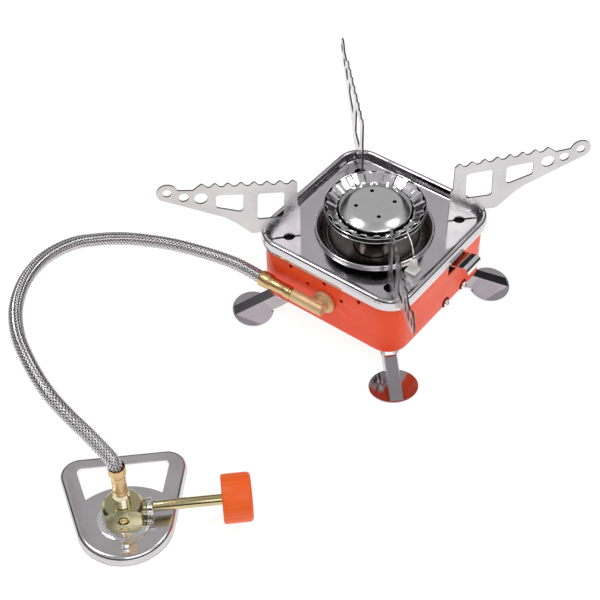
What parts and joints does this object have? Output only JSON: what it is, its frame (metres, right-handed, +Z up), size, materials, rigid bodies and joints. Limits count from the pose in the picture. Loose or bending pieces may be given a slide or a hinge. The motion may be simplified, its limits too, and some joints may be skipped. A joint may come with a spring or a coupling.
{
  "type": "canister stove",
  "caption": "Folding camp stove with a square body, ring burner, swinging pot supports, folding legs, a spark lever and a braided hose to a canister valve plate.",
  "frame": {"origin": "on the ground under the burner's axis, the middle of the open stove's footprint", "axes": "+Z up, -Y the face with the gas inlet, +X the face with the igniter lever"},
  "size_m": [0.1919, 0.3031, 0.0987],
  "materials": {
    "orange_paint": "semi-gloss orange-red powder coat",
    "deck_steel": "polished stainless steel",
    "plate_steel": "satin stainless steel",
    "burner_steel": "heat-tinted stainless steel",
    "bright_steel": "bright plated steel",
    "leg_steel": "polished stainless steel with a faint tint",
    "brass": "polished brass",
    "cast_brass": "matte cast brass",
    "yellow_zinc": "yellow zinc passivate",
    "orange_plastic": "moulded orange plastic",
    "braid": "braided stainless wire",
    "ceramic": "glazed white ceramic",
    "black_plastic": "moulded black plastic",
    "black_rubber": "black rubber"
  },
  "bodies": {
    "stove": {"body_shell": "orange_paint", "deck_tray": "deck_steel", "base_plate": "plate_steel", "piezo_bracket": "plate_steel", "canister_collar": "plate_steel", "adapter_plate": "plate_steel", "lever_pin": "plate_steel", "burner_bowl": "burner_steel", "mixing_tube": "burner_steel", "burner_cup": "burner_steel", "flame_ring": "bright_steel", "burner_cap": "bright_steel", "piezo_screw_near": "bright_steel", "piezo_screw_far": "bright_steel", "locating_pin": "bright_steel", "electrode_wire": "bright_steel", "jet_block": "brass", "jet_nozzle": "brass", "inlet_pipe": "brass", "inlet_nut": "brass", "stove_ferrule": "brass", "valve_ferrule": "brass", "hose_union": "brass", "metering_screw": "brass", "inlet_elbow": "cast_brass", "valve_body": "yellow_zinc", "packing_nut": "yellow_zinc", "gas_hose": "braid", "electrode_insulator": "ceramic", "piezo_housing": "black_plastic", "igniter_lead": "black_rubber", "canister_seal": "black_rubber", "pivot_cup_front": "plate_steel", "leg_bracket_front": "plate_steel", "leg_pin_front": "plate_steel", "pivot_cup_right": "plate_steel", "leg_bracket_right": "plate_steel", "leg_pin_right": "plate_steel", "pivot_cup_back": "plate_steel", "leg_bracket_back": "plate_steel", "leg_pin_back": "plate_steel", "pivot_cup_left": "plate_steel", "leg_bracket_left": "plate_steel", "leg_pin_left": "plate_steel"},
    "support_front": {"pot_support_front": "deck_steel", "support_stem_front": "plate_steel"},
    "support_right": {"pot_support_right": "deck_steel", "support_stem_right": "plate_steel"},
    "support_back": {"pot_support_back": "deck_steel", "support_stem_back": "plate_steel"},
    "support_left": {"pot_support_left": "deck_steel", "support_stem_left": "plate_steel"},
    "leg_front": {"leg_front": "leg_steel"},
    "leg_right": {"leg_right": "leg_steel"},
    "leg_back": {"leg_back": "leg_steel"},
    "leg_left": {"leg_left": "leg_steel"},
    "lever": {"igniter_lever": "bright_steel"},
    "plunger": {"piezo_plunger": "black_plastic"},
    "knob": {"valve_spindle": "brass", "control_knob": "orange_plastic"}
  },
  "joints": [
    {"name": "support_front_turn", "type": "hinge", "parent": "stove", "child": "support_front", "pos_m": [0.0325, -0.0325, 0.0533], "axis": [0, 0, -1], "range_deg": [0, 123]},
    {"name": "support_right_turn", "type": "hinge", "parent": "stove", "child": "support_right", "pos_m": [0.0325, 0.0325, 0.0533], "axis": [0, 0, -1], "range_deg": [0, 126.5]},
    {"name": "support_back_turn", "type": "hinge", "parent": "stove", "child": "support_back", "pos_m": [-0.0325, 0.0325, 0.0533], "axis": [0, 0, -1], "range_deg": [0, 125.5]},
    {"name": "support_left_turn", "type": "hinge", "parent": "stove", "child": "support_left", "pos_m": [-0.0325, -0.0325, 0.0533], "axis": [0, 0, -1], "range_deg": [0, 127]},
    {"name": "leg_front_fold", "type": "hinge", "parent": "stove", "child": "leg_front", "pos_m": [0.03535, -0.03535, 0.015], "axis": [0.7071, 0.7071, 0], "range_deg": [0, 180]},
    {"name": "leg_right_fold", "type": "hinge", "parent": "stove", "child": "leg_right", "pos_m": [0.03535, 0.03535, 0.015], "axis": [-0.7071, 0.7071, 0], "range_deg": [0, 180]},
    {"name": "leg_back_fold", "type": "hinge", "parent": "stove", "child": "leg_back", "pos_m": [-0.03535, 0.03535, 0.015], "axis": [-0.7071, -0.7071, 0], "range_deg": [0, 180]},
    {"name": "leg_left_fold", "type": "hinge", "parent": "stove", "child": "leg_left", "pos_m": [-0.03535, -0.03535, 0.015], "axis": [0.7071, -0.7071, 0], "range_deg": [0, 180]},
    {"name": "lever_press", "type": "hinge", "parent": "stove", "child": "lever", "pos_m": [0.0335, 0.0117, 0.0473], "axis": [0, 1, 0], "range_deg": [0, 20], "stiffness_Nm_per_rad": 0.25, "springref_deg": -5.73},
    {"name": "plunger_push", "type": "slide", "parent": "stove", "child": "plunger", "axis": [0, 0, -1], "range_m": [0, 0.0027]},
    {"name": "knob_turn", "type": "hinge", "parent": "stove", "child": "knob", "pos_m": [-0.0065, -0.1972, 0.0126], "axis": [0.7193, 0.6947, 0], "range_deg": [0, 540]}
  ],
  "couplings": [
    {"joint": "plunger_push", "follows": "lever_press", "m_per_rad": 0.0072}
  ]
}
